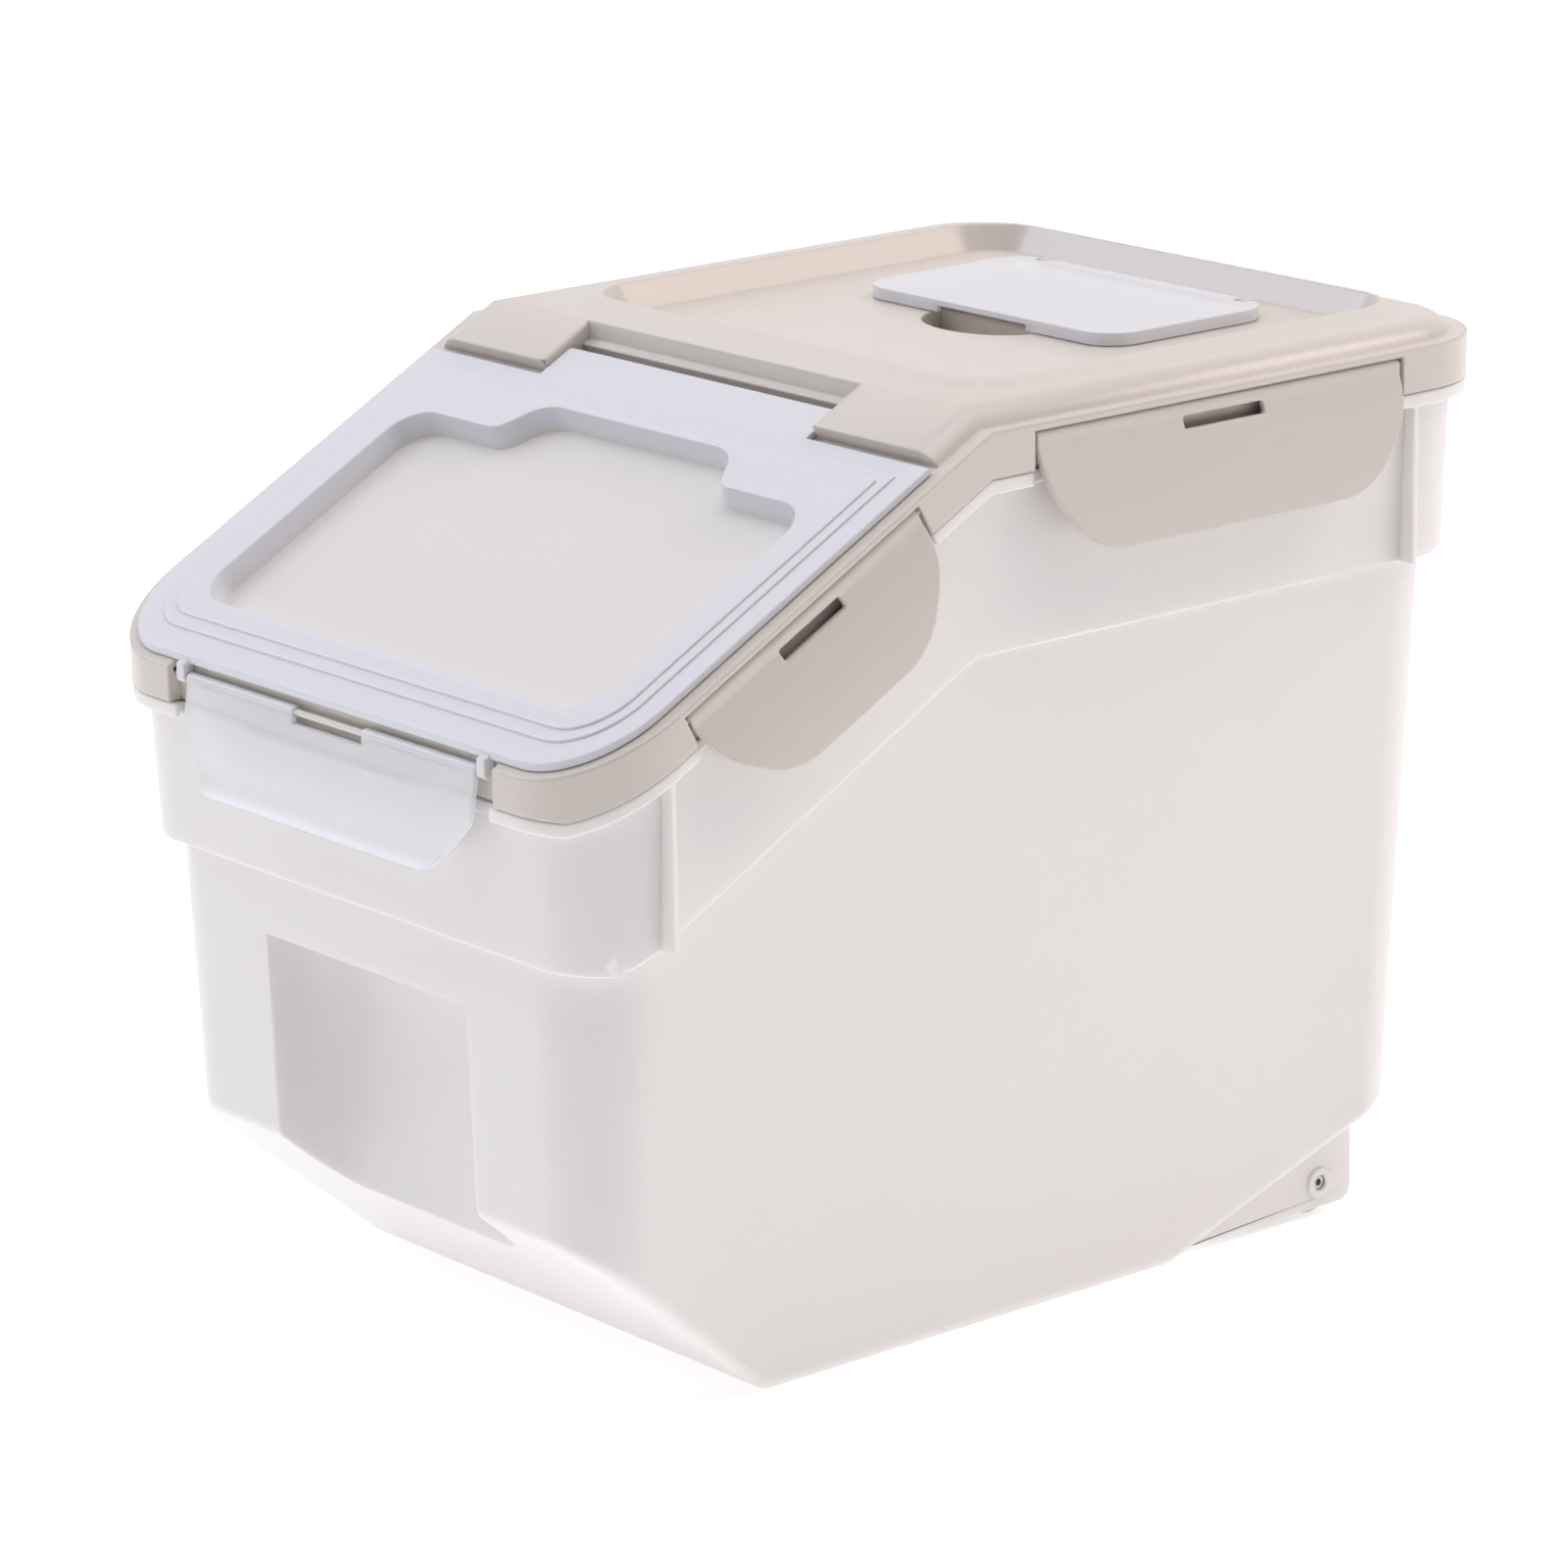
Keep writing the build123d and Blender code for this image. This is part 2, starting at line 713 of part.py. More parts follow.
with BuildPart() as lid_frame:
    with BuildSketch(Plane.XY):
        rim_outline(0.0)
    extrude(amount=reach)
    between(frame_seat_gap, rim_front_z + frame_seat_gap, band_height, ledge_front_z)
    with BuildPart(mode=Mode.PRIVATE) as raised:
        add(raised_plate(0.0, 0.0, plate_edge_round))
        between(web_rise, ledge_front_z, reach, reach)
    add(raised.part)
    add(crest(crest_side_run, plate_top_z, crest_z))
    # hollow underneath: the band, the plate and the ears, less the tray's own walls
    with BuildPart(mode=Mode.PRIVATE) as underside:
        with BuildSketch(Plane.XY):
            rim_outline(frame_wall)
        extrude(amount=reach)
        between(-band_height, rim_front_z - band_height, web_rise, ledge_front_z - frame_wall)
        add(raised_plate(seal_rib_inner - plate_inset, frame_wall, frame_wall))
        add(tray(frame_wall), mode=Mode.SUBTRACT)
        add(thumb_dip(frame_wall), mode=Mode.SUBTRACT)
        # trough for the flap's barrel, and bosses for its pins
        trough_outer = flap_barrel_radius + trough_gap + trough_wall
        with BuildPart(mode=Mode.PRIVATE) as trough:
            bar_between(
                slope_frame, -ear_inner_x - frame_wall, ear_inner_x + frame_wall, trough_outer, Mode.ADD
            )
            box_between(
                slope_frame, (-reach, reach), (-reach, reach), (ledge_square, reach), Mode.SUBTRACT
            )
        add(trough.part, mode=Mode.SUBTRACT)
        for side in (1, -1):
            start, end = sorted((side * ear_inner_x, side * (ear_inner_x + hinge_pin_bite + frame_wall)))
            bar_between(slope_frame, start, end, pin_boss_radius, Mode.SUBTRACT)
    add(underside.part, mode=Mode.SUBTRACT)
    # walls that stand down from the web: guide for the latches, rib for the seal
    web_under = (web_rise + frame_wall / 2, ledge_front_z)
    add(rim_ring(guide_inset, guide_inset + guide_wall,
                 (frame_seat_gap, rim_front_z + frame_seat_gap), web_under))
    add(rim_ring(seal_rib_inset, seal_rib_inner,
                 (seal_rib_rise, rim_front_z + seal_rib_rise), web_under))
    # tray, thumb dip and the hole for the repellent box
    add(tray(0.0), mode=Mode.SUBTRACT)
    add(thumb_dip(0.0), mode=Mode.SUBTRACT)
    with BuildSketch(Plane.XY.offset(tray_floor_z)):
        outline_from(
            box_half_width + box_fit_gap,
            box_front_y - box_fit_gap,
            box_rear_y + box_fit_gap,
            box_corner + box_fit_gap,
        )
    extrude(amount=2 * frame_wall, both=True, mode=Mode.SUBTRACT)
    # scoop opening and barrel trough in the sloping web
    with BuildSketch(slope_frame.offset(-seal_rib_inset)):
        with Locations((0, -(opening_back_run + opening_front_run) / 2)):
            RectangleRounded(
                2 * opening_half_width, opening_front_run - opening_back_run, opening_corner
            )
    extrude(amount=2 * seal_rib_inset, mode=Mode.SUBTRACT)
    bar_between(slope_frame, -ear_inner_x, ear_inner_x, flap_barrel_radius + trough_gap, Mode.SUBTRACT)
    for side in (1, -1):
        start, end = sorted((side * ear_inner_x, side * (ear_inner_x + hinge_pin_bite)))
        bar_between(slope_frame, start, end, hinge_pin_radius, Mode.SUBTRACT)
    # pockets for the side latches, with a lug at each end that holds the rod
    for latch in side_latches.values():
        half = latch["length"] / 2 + latch_end_gap
        outer_z = latch_axis_inset
        floor_z = latch_axis_inset - guide_inset
        foot_y = -latch["axis_rise"] + frame_seat_gap
        top_y = latch_barrel_radius + latch_barrel_gap
        for start, end in ((-half - lug_thick, -half), (half, half + lug_thick)):
            box_between(
                latch["frame"], (start, end), (foot_y, top_y), (floor_z - guide_wall / 2, outer_z),
                Mode.ADD,
            )
        box_between(
            latch["frame"], (-half, half), (foot_y - frame_wall, top_y), (floor_z, outer_z + frame_wall),
            Mode.SUBTRACT,
        )
        bar_between(latch["frame"], -half - rod_bite, half + rod_bite, latch_rod_radius, Mode.SUBTRACT)
    # pocket for the front latch, open at the top, with a catch bead on its floor
    pocket_floor_z = latch_axis_inset - guide_inset
    pocket_low_y = rim_front_z + frame_seat_gap - front_latch_axis_z
    for start, end in (
        (-front_pocket_half - front_pocket_wall, -front_pocket_half),
        (front_pocket_half, front_pocket_half + front_pocket_wall),
    ):
        box_between(
            front_latch_frame,
            (start, end),
            (pocket_low_y, ledge_front_z + band_height / 2 - front_latch_axis_z),
            (pocket_floor_z - guide_wall / 2, latch_axis_inset - frame_wall / 2),
            Mode.ADD,
        )
    box_between(
        front_latch_frame,
        (-front_pocket_half, front_pocket_half),
        (pocket_low_y - frame_wall, reach / 4),
        (pocket_floor_z, latch_axis_inset + frame_wall),
        Mode.SUBTRACT,
    )
    bead_low_y = catch_bead_z - front_latch_axis_z
    box_between(
        front_latch_frame,
        (-catch_bead_half, catch_bead_half),
        (bead_low_y, bead_low_y + catch_bead_height),
        (pocket_floor_z - guide_wall / 2, pocket_floor_z + catch_bead_reach),
        Mode.ADD,
    )
    # ears that hold the pin of the repellent cap
    cap_axis_z = cap_top_z - cap_barrel_radius
    cap_frame = Plane(origin=(0, cap_axis_y, cap_axis_z), x_dir=(1, 0, 0), z_dir=(0, 0, 1))
    cap_ear_outer = cap_ear_inner_x + cap_ear_thick
    for start, end in ((-cap_ear_outer, -cap_ear_inner_x), (cap_ear_inner_x, cap_ear_outer)):
        bar_between(cap_frame, start, end, cap_barrel_radius, Mode.ADD)
        box_between(
            cap_frame,
            (start, end),
            (-cap_barrel_radius, cap_barrel_radius),
            (tray_floor_z - frame_wall / 2 - cap_axis_z, 0),
            Mode.ADD,
        )
    bar_between(cap_frame, -cap_ear_outer, cap_ear_outer, cap_pin_radius, Mode.SUBTRACT)

# ---------------------------------------------------------------- lid seal
seal_outer = guide_inset + guide_wall + seal_side_gap
seal_inner = seal_rib_inset - seal_side_gap
with BuildPart() as lid_seal:
    add(
        rim_ring(
            seal_outer,
            seal_inner,
            (upstand_height + seal_lift, rim_front_z + upstand_height + seal_lift),
            (web_rise, ledge_front_z),
        )
    )

# ---------------------------------------------------------------- flip lid and its seal
def panel_outline(grow):
    """The window panel: straight in front, stepped forward beside the hinge ears."""
    side = panel_half_width + grow
    foot = panel_bump_foot + grow / 2
    bump = panel_bump_half + grow / 2
    front = -panel_front_run - grow
    back = -panel_back_run + grow
    bump_back = -panel_bump_run + grow
    right = [(side, front), (side, back), (foot, back), (bump, bump_back)]
    left = [(-x, y) for x, y in reversed(right)]
    Polygon(*right, *left, align=None)


def panel_corners(sketch, grow):
    """Round the corners of a panel outline: outer corners wider, inner corners tighter."""
    feet = sketch.vertices().filter_by(lambda v: abs(abs(v.X) - panel_bump_foot - grow / 2) < 0.01)
    rest = sketch.vertices() - feet
    fillet(rest, panel_corner + grow)
    feet = sketch.vertices().filter_by(lambda v: abs(abs(v.X) - panel_bump_foot - grow / 2) < 0.01)
    fillet(feet, panel_bump_round - grow / 2)


def panel_block(low_rise, low_grow, high_rise, high_grow):
    """A block over the panel outline with drafted walls."""
    with BuildPart(mode=Mode.PRIVATE) as block:
        for rise, grow in ((low_rise, low_grow), (high_rise, high_grow)):
            with BuildSketch(slope_frame.offset(rise)) as section:
                panel_outline(grow)
                panel_corners(section, grow)
        loft(ruled=True)
    return block.part


def flap_plate(inset, low_rise, high_rise, back_run):
    """A plate along the slope under the flap's plan outline, drawn in by `inset`."""
    with BuildPart(mode=Mode.PRIVATE) as plate:
        with BuildSketch(Plane.XY):
            outline_from(
                half_rim_width - flap_side_inset - inset,
                flap_front_inset + inset - half_rim_length,
                rim_length / 4,
                flap_corner - inset,
            )
        extrude(amount=reach)
        box_between(
            slope_frame, (-reach, reach), (-reach, -back_run), (low_rise, high_rise), Mode.INTERSECT
        )
    return plate.part


panel_rise = flap_barrel_radius - panel_depth
step_top = flap_barrel_radius + 2 * step_rise
tongue_half = ear_inner_x - flap_barrel_gap
with BuildPart() as flip_lid:
    add(flap_plate(0.0, flap_under, flap_barrel_radius, ear_front_run + flap_back_gap))
    add(flap_plate(first_step_inset, flap_under, flap_barrel_radius + step_rise, step_back_run))
    add(flap_plate(second_step_inset, flap_under, step_top, step_back_run + first_step_inset / 2))
    box_between(
        slope_frame,
        (-tongue_half, tongue_half),
        (-step_back_run, 0),
        (flap_under, flap_barrel_radius),
        Mode.ADD,
    )
    bar_between(slope_frame, -tongue_half, tongue_half, flap_barrel_radius, Mode.ADD)
    add(panel_block(panel_rise - flap_thick, flap_thick, flap_under + flap_thick / 2, flap_thick))
    add(panel_block(panel_rise, 0.0, step_top, panel_draft), mode=Mode.SUBTRACT)
    # lugs for the rod of the front latch, hung from the front border
    with BuildPart(mode=Mode.PRIVATE) as lugs:
        lug_inner = front_latch_length / 2 + front_lug_gap
        for start, end in (
            (-lug_inner - front_lug_thick, -lug_inner),
            (lug_inner, lug_inner + front_lug_thick),
        ):
            bar_between(front_latch_frame, start, end, latch_barrel_radius, Mode.ADD)
            box_between(
                front_latch_frame,
                (start, end),
                (0, band_height),
                (-latch_barrel_radius, latch_barrel_radius),
                Mode.ADD,
            )
        box_between(
            slope_frame,
            (-reach, reach),
            (-reach, reach),
            (flap_barrel_radius - flap_thick / 2, reach),
            Mode.SUBTRACT,
        )
    add(lugs.part)
    bar_between(
        front_latch_frame, -lug_inner - rod_bite, lug_inner + rod_bite, latch_rod_radius, Mode.SUBTRACT
    )
    # blind bores for the hinge pins
    for side in (1, -1):
        inner = ear_inner_x + hinge_pin_bite - hinge_pin_length
        start, end = sorted((side * inner, side * ear_inner_x))
        bar_between(slope_frame, start, end, hinge_pin_radius + hinge_running_gap, Mode.SUBTRACT)

seal_wall_grow = flap_thick + flap_seal_gap
with BuildPart() as flip_lid_seal:
    add(
        panel_block(
            flap_under - flap_seal_depth,
            seal_wall_grow + flap_seal_thick,
            flap_under,
            seal_wall_grow + flap_seal_thick,
        )
    )
    add(
        panel_block(
            flap_under - 2 * flap_seal_depth, seal_wall_grow, flap_under + flap_thick, seal_wall_grow
        ),
        mode=Mode.SUBTRACT,
    )

hinge_pins = {}
for side_name, side_sign in (("right", 1), ("left", -1)):
    outer = ear_inner_x + hinge_pin_bite
    start, end = sorted((side_sign * (outer - hinge_pin_length), side_sign * outer))
    with BuildPart() as hinge_pin:
        bar_between(slope_frame, start, end, hinge_pin_radius, Mode.ADD)
    hinge_pins["flap_hinge_pin_" + side_name] = hinge_pin


# ---------------------------------------------------------------- latches and their rods
def latch_blank(length, height, flare, belly):
    """Side profile of a latch, pushed out along its rod: a barrel that runs into a curved plate."""
    foot_y = latch_barrel_radius - height
    with BuildPart(mode=Mode.PRIVATE) as blank:
        with BuildSketch(Plane.YZ):
            with BuildLine():
                crease = (-latch_crease, latch_barrel_radius)
                middle = ((foot_y - latch_crease) / 2, latch_barrel_radius + belly)
                foot = (foot_y, latch_barrel_radius + flare)
                Line((0, latch_barrel_radius), crease)
                ThreePointArc(crease, middle, foot)
                Line(foot, (foot_y, foot[1] - latch_plate))
                ThreePointArc(
                    (foot_y, foot[1] - latch_plate),
                    (middle[0], middle[1] - latch_plate),
                    (-latch_crease, latch_barrel_radius - latch_plate),
                )
                Line(
                    (-latch_crease, latch_barrel_radius - latch_plate),
                    (0, latch_barrel_radius - latch_plate),
                )
                Line((0, latch_barrel_radius - latch_plate), (0, latch_barrel_radius))
            make_face()
            Circle(latch_barrel_radius)
        extrude(amount=length / 2, both=True)
    return blank.part


def latch_face(length, height, straight, taper, low_corner, high_corner):
    """Keep the front outline of a latch: straight ends that turn in to a shorter lip."""
    foot_y = latch_barrel_radius - height
    turn_y = latch_barrel_radius - height * straight
    with BuildSketch(Plane.XY) as outline:
        with BuildLine():
            Polyline(
                (-length / 2, reach / 4),
                (-length / 2, turn_y),
                (taper - length / 2, foot_y),
                (length / 2 - taper, foot_y),
                (length / 2, turn_y),
                (length / 2, reach / 4),
                close=True,
            )
        make_face()
        fillet(outline.vertices().group_by(Axis.Y)[0], low_corner)
        fillet(outline.vertices().filter_by(lambda v: abs(v.Y - turn_y) < 0.01), high_corner)
    extrude(outline.sketch, amount=reach / 4, both=True, mode=Mode.INTERSECT)


def placed(part, frame):
    """Set a part modelled about the origin into a latch frame."""
    return part.moved(frame.location)


def side_latch(latch):
    """A side latch: barrel, curved finger plate, window and the nose under the rim."""
    half = latch["length"] / 2
    nose_top = -latch["axis_rise"] - latch["flange"] - latch_nose_gap
    with BuildPart(mode=Mode.PRIVATE) as shape:
        add(latch_blank(latch["length"], latch["height"], side_flare, side_belly))
        box_between(
            Plane.XY,
            (-half + latch_nose_margin, half - latch_nose_margin),
            (nose_top - latch_nose_thick, nose_top),
            (latch_axis_inset - catch_inset + latch_nose_gap, side_belly),
            Mode.ADD,
        )
        latch_face(
            latch["length"],
            latch["height"],
            side_straight_share,
            latch["taper"],
            latch_corner,
            latch_upper_corner,
        )
        with BuildSketch(Plane.XY):
            with Locations((0, -window_drop - window_height / 2)):
                RectangleRounded(latch["window"], window_height, window_height / 4)
        extrude(amount=side_flare * 2, both=True, mode=Mode.SUBTRACT)
        bar_between(Plane.XY, -half, half, latch_rod_radius + latch_running_gap, Mode.SUBTRACT)
    return placed(shape.part, latch["frame"])


side_latch_parts = {}
rod_parts = {}
for latch_name, latch in side_latches.items():
    with BuildPart() as side_latch_part:
        add(side_latch(latch))
    side_latch_parts["side_latch_" + latch_name] = side_latch_part
    with BuildPart() as rod:
        rod_half = latch["length"] / 2 + latch_end_gap + rod_bite
        bar_between(latch["frame"], -rod_half, rod_half, latch_rod_radius, Mode.ADD)
    rod_parts["side_latch_rod_" + latch_name] = rod

with BuildPart() as front_latch:
    with BuildPart(mode=Mode.PRIVATE) as front_shape:
        half = front_latch_length / 2
        nose_top = catch_bead_z - front_catch_play - front_latch_axis_z
        add(latch_blank(front_latch_length, front_latch_height, front_flare, front_belly))
        box_between(
            Plane.XY,
            (-catch_bead_half, catch_bead_half),
            (nose_top - front_nose_thick, nose_top),
            (
                latch_axis_inset - guide_inset + catch_bead_reach - front_catch_hold,
                latch_barrel_radius,
            ),
            Mode.ADD,
        )
        latch_face(
            front_latch_length,
            front_latch_height,
            front_straight_share,
            front_latch_taper,
            front_latch_corner,
            front_latch_corner,
        )
        box_between(
            Plane.XY,
            (-front_window_width / 2, front_window_width / 2),
            (-front_window_drop, reach / 4),
            (-reach / 4, reach / 4),
            Mode.SUBTRACT,
        )
        bar_between(Plane.XY, -half, half, latch_rod_radius + latch_running_gap, Mode.SUBTRACT)
    add(placed(front_shape.part, front_latch_frame))

with BuildPart() as front_latch_rod:
    bar_between(
        front_latch_frame, -lug_inner - rod_bite, lug_inner + rod_bite, latch_rod_radius, Mode.ADD
    )

# ---------------------------------------------------------------- repellent box and cap
with BuildPart() as repellent_box:
    with BuildSketch(Plane.XY.offset(tray_floor_z - box_depth)):
        outline_from(box_half_width, box_front_y, box_rear_y, box_corner)
    extrude(amount=box_depth + box_flange_thick)
    with BuildSketch(Plane.XY.offset(tray_floor_z)):
        outline_from(
            box_half_width + box_flange,
            box_front_y - box_flange,
            box_rear_y + box_flange,
            box_corner + box_flange,
        )
    extrude(amount=box_flange_thick)
    with BuildSketch(Plane.XY.offset(tray_floor_z - box_depth + box_wall)):
        outline_from(
            box_half_width - box_wall,
            box_front_y + box_wall,
            box_rear_y - box_wall,
            box_corner - box_wall,
        )
    extrude(amount=box_depth, mode=Mode.SUBTRACT)
    with BuildSketch(Plane.XY.offset(tray_floor_z - box_depth)):
        with Locations((0, (box_front_y + box_rear_y) / 2)):
            with GridLocations(vent_pitch, 0, vent_count, 1):
                SlotOverall(vent_length, vent_width, rotation=90)
    extrude(amount=box_wall * 2, mode=Mode.SUBTRACT)

with BuildPart() as repellent_box_cap:
    skirt_low_z = tray_floor_z + cap_floor_gap
    with BuildSketch(Plane.XY.offset(skirt_low_z)):
        outline_from(cap_half_width, cap_front_y, cap_axis_y, cap_corner)
    extrude(amount=cap_top_z - skirt_low_z)
    with BuildSketch(Plane.XY.offset(skirt_low_z)):
        outline_from(
            cap_half_width - cap_skirt,
            cap_front_y + cap_skirt,
            cap_axis_y + cap_skirt,
            cap_corner - cap_skirt,
        )
    extrude(amount=cap_top_z - cap_plate - skirt_low_z, mode=Mode.SUBTRACT)
    ear_out = cap_ear_outer + cap_ear_gap
    bar_between(cap_frame, -ear_out, ear_out, cap_barrel_radius, Mode.ADD)
    box_between(
        cap_frame,
        (-ear_out, ear_out),
        (-cap_corner, 0),
        (cap_barrel_radius - cap_plate, cap_barrel_radius),
        Mode.ADD,
    )
    for start, end in ((-ear_out, cap_ear_gap - cap_ear_inner_x), (cap_ear_inner_x - cap_ear_gap, ear_out)):
        box_between(
            cap_frame,
            (start, end),
            (-cap_barrel_radius * 2, cap_barrel_radius * 2),
            (-cap_barrel_radius * 2, cap_barrel_radius * 2),
            Mode.SUBTRACT,
        )
    bar_between(cap_frame, -ear_out, ear_out, cap_pin_radius + cap_pin_gap, Mode.SUBTRACT)
    # finger notch in the front skirt
    box_between(
        Plane.XY,
        (-cap_notch_half, cap_notch_half),
        (cap_front_y - cap_skirt, cap_front_y + cap_skirt),
        (0, cap_top_z - cap_plate),
        Mode.SUBTRACT,
    )

with BuildPart() as repellent_cap_pin:
    bar_between(cap_frame, -cap_ear_outer, cap_ear_outer, cap_pin_radius, Mode.ADD)

# ---------------------------------------------------------------- write the pieces
pieces = {
    "tub": tub,
    "lid_frame": lid_frame,
    "lid_seal": lid_seal,
    "flip_lid": flip_lid,
    "flip_lid_seal": flip_lid_seal,
    "front_latch": front_latch,
    "front_latch_rod": front_latch_rod,
    "repellent_box": repellent_box,
    "repellent_box_cap": repellent_box_cap,
    "repellent_cap_pin": repellent_cap_pin,
    **hinge_pins,
    **side_latch_parts,
    **rod_parts,
    **wheels,
    **axles,
}
os.makedirs("parts", exist_ok=True)
for name, piece in pieces.items():
    piece.part.label = name
    export_step(piece.part, "parts/" + name + ".step")
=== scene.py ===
# %% [markdown]
# # A rice bin with a flip lid
# The bin is an assembly of moulded polypropylene pieces: a white tub, a beige lid frame,
# a see-through flap and five latches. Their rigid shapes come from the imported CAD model,
# which is loaded as a fixed frame. This script rounds their moulded edges, curls the front
# latch's foot into a finger lip, gives them their finishes, and adds the floor, the light
# and the camera.

import json
from math import cos, radians, sin

import bmesh
import bpy
import numpy as np
from mathutils import Matrix, Vector


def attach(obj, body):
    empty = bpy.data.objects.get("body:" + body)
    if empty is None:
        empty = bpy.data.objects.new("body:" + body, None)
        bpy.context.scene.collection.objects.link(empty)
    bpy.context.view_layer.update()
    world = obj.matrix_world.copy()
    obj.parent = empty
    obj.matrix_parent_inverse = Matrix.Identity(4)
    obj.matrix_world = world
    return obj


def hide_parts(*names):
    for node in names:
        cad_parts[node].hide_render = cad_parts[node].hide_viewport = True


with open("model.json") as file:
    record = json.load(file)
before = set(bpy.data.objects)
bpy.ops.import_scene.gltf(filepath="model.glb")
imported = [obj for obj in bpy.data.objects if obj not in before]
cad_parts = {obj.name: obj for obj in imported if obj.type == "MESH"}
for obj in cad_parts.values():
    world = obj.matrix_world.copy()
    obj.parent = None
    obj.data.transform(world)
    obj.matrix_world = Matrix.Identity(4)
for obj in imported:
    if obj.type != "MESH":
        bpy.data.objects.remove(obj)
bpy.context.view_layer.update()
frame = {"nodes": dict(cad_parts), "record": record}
nodes = frame["nodes"]
MM = 0.001

# %% [markdown]
# Colours are written as the sRGB hex values that a colour picker shows. Blender's shader
# sockets want linear light, so one function turns them over.


# %% Colour helper
def linear_colour(hex_code):
    """Linear RGBA: each channel c is c/12.92 below 0.04045, else ((c+0.055)/1.055)^2.4."""
    srgb = np.array([int(hex_code[i : i + 2], 16) for i in (1, 3, 5)]) / 255
    linear = np.where(srgb <= 0.04045, srgb / 12.92, ((srgb + 0.055) / 1.055) ** 2.4)
    return (*linear.tolist(), 1.0)


# %% [markdown]
# Every finish is one Principled surface with a little relief. A mould has no sharp edges,
# so a Bevel node rounds the shading of each edge by the given radius, and the relief lies
# on top of that. One small function adds a node with its settings and links, so each
# material reads as a short list.


# %% Node helper
BEVEL_SAMPLES = 6
GRAIN_DETAIL = 2.0


def add_node(material, kind, settings=None, links=None):
    """Add a node, set its sockets or properties by name, and link sockets into it."""
    node = material.node_tree.nodes.new(kind)
    for key, value in (settings or {}).items():
        if key in node.inputs:
            node.inputs[key].default_value = value
        else:
            setattr(node, key, value)
    for socket, source in (links or {}).items():
        material.node_tree.links.new(source, node.inputs[socket])
    return node


def new_finish(name, surface_settings, grain_mm, grain_depth_mm, edge_mm=0.8, clear=0.0):
    """A Principled surface with rounded edges and grain; `clear` is the share seen through."""
    material = bpy.data.materials.new(name)
    material.use_nodes = True
    material.node_tree.nodes.clear()
    where = add_node(material, "ShaderNodeTexCoord")
    grain = add_node(
        material,
        "ShaderNodeTexNoise",
        {"Scale": 1 / (grain_mm * MM), "Detail": GRAIN_DETAIL},
        {"Vector": where.outputs["Object"]},
    )
    edges = add_node(
        material, "ShaderNodeBevel", {"samples": BEVEL_SAMPLES, "Radius": edge_mm * MM}
    )
    relief = add_node(
        material,
        "ShaderNodeBump",
        {"Strength": 1.0, "Distance": grain_depth_mm * MM},
        {"Height": grain.outputs["Fac"], "Normal": edges.outputs["Normal"]},
    )
    surface = add_node(
        material,
        "ShaderNodeBsdfPrincipled",
        {"name": "surface", **surface_settings},
        {"Normal": relief.outputs["Normal"]},
    )
    straight_through = add_node(material, "ShaderNodeBsdfTransparent")
    seen = add_node(
        material,
        "ShaderNodeMixShader",
        {"name": "see_through", "Fac": clear},
        {1: surface.outputs["BSDF"], 2: straight_through.outputs["BSDF"]},
    )
    add_node(material, "ShaderNodeOutputMaterial", None, {"Surface": seen.outputs["Shader"]})
    return material


# %% [markdown]
# The tub and the lid frame are injection-moulded polypropylene. The mould is lightly
# blasted, so the plastic is satin: a wide soft highlight with no mirror image in it.
# Polypropylene has an IOR of 1.49. Light goes a few millimetres into the white plastic
# and some comes out inside the bin, which is why its inside isn't dark behind the window.
# The beige plastic holds more pigment, so light goes less far into it.

# %% Opaque polypropylene
POLYPROPYLENE_IOR = 1.49
REDDER_DEPTH = (1.0, 0.95, 0.9)
white_polypropylene = new_finish(
    "moulded_white_polypropylene",
    {
        "Base Color": linear_colour("#e9e5e4"),
        "Roughness": 0.42,
        "IOR": POLYPROPYLENE_IOR,
        "Subsurface Weight": 0.5,
        "Subsurface Radius": REDDER_DEPTH,
        "Subsurface Scale": 4.0 * MM,
    },
    grain_mm=1.2,
    grain_depth_mm=0.004,
)
beige_polypropylene = new_finish(
    "moulded_beige_polypropylene",
    {
        "Base Color": linear_colour("#d3cbc4"),
        "Roughness": 0.26,
        "IOR": POLYPROPYLENE_IOR,
        "Subsurface Weight": 0.1,
        "Subsurface Radius": REDDER_DEPTH,
        "Subsurface Scale": 1.0 * MM,
    },
    grain_mm=1.2,
    grain_depth_mm=0.003,
    edge_mm=1.3,
)
print("opaque finishes", white_polypropylene.name, beige_polypropylene.name)

# %% [markdown]
# The flap, the front latch and the cap are natural polypropylene without pigment. It is
# cloudy: most of the light scatters back as white, and the rest passes straight through
# the thin sheet, so what lies close behind it still shows.

# %% Frosted polypropylene
FROSTED_ROUGHNESS = 0.24
frosted_polypropylene = new_finish(
    "moulded_natural_polypropylene",
    {
        "Base Color": linear_colour("#f1f1f5"),
        "Roughness": FROSTED_ROUGHNESS,
        "IOR": POLYPROPYLENE_IOR,
    },
    grain_mm=1.5,
    grain_depth_mm=0.003,
    edge_mm=0.6,
    clear=0.3,
)
print("the cap's finish is", frosted_polypropylene.name)

# %% [markdown]
# The front latch is a thinner sheet of the same plastic, so the beige band behind it shows
# more clearly.

# %% Thin frosted polypropylene
thin_polypropylene = new_finish(
    "moulded_natural_polypropylene_thin",
    {
        "Base Color": linear_colour("#f7f7fb"),
        "Roughness": FROSTED_ROUGHNESS,
        "IOR": POLYPROPYLENE_IOR,
    },
    grain_mm=1.5,
    grain_depth_mm=0.003,
    edge_mm=0.6,
    clear=0.45,
)
print("the front latch's finish is", thin_polypropylene.name)
